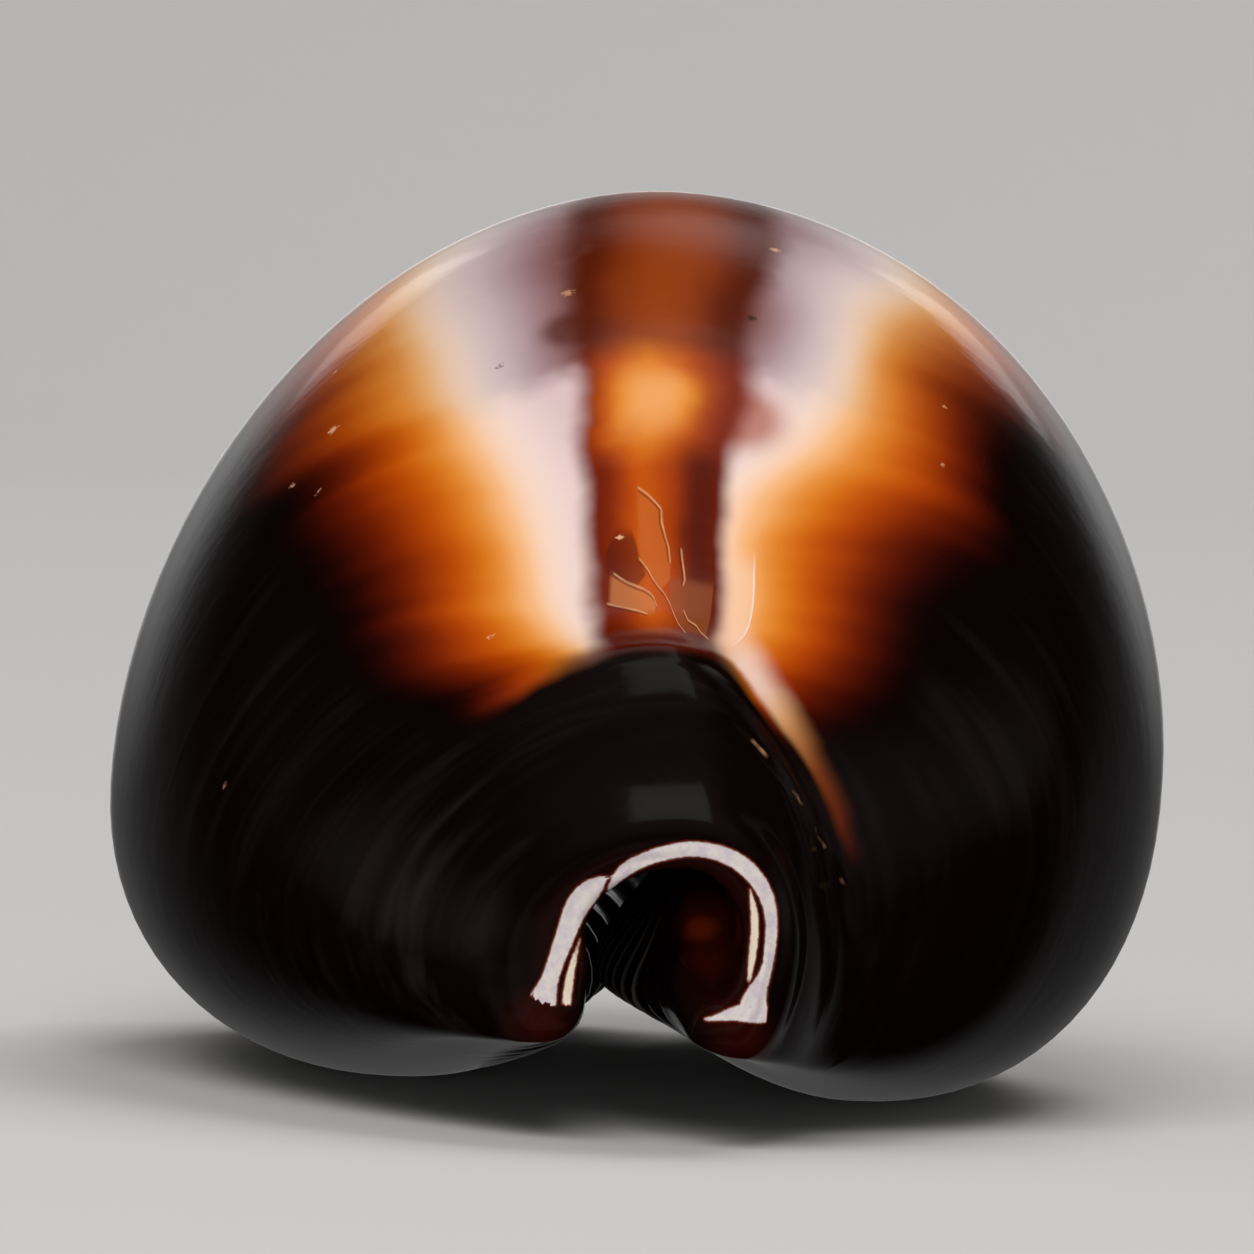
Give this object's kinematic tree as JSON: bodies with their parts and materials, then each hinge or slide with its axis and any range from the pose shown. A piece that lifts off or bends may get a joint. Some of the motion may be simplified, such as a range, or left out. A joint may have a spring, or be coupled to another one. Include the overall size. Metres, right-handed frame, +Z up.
{
  "type": "onyx cowrie shell",
  "caption": "Glossy dark cowrie sea shell with a domed back, a slit aperture between toothed lips and a canal notch at each end, resting on its base.",
  "frame": {"origin": "middle of the shell's bounding box, on the surface it rests on", "axes": "+Y runs from the front (siphonal) canal to the rear canal, +X points to the columella side, +Z is up through the domed back"},
  "size_m": [0.026, 0.042, 0.022],
  "materials": {
    "shell_enamel": "glass-smooth natural enamel: near-black brown margins and base, amber and lilac-white bands over the back, pale rim at the front canal"
  },
  "bodies": {
    "root": {"shell": "shell_enamel"}
  },
  "joints": []
}
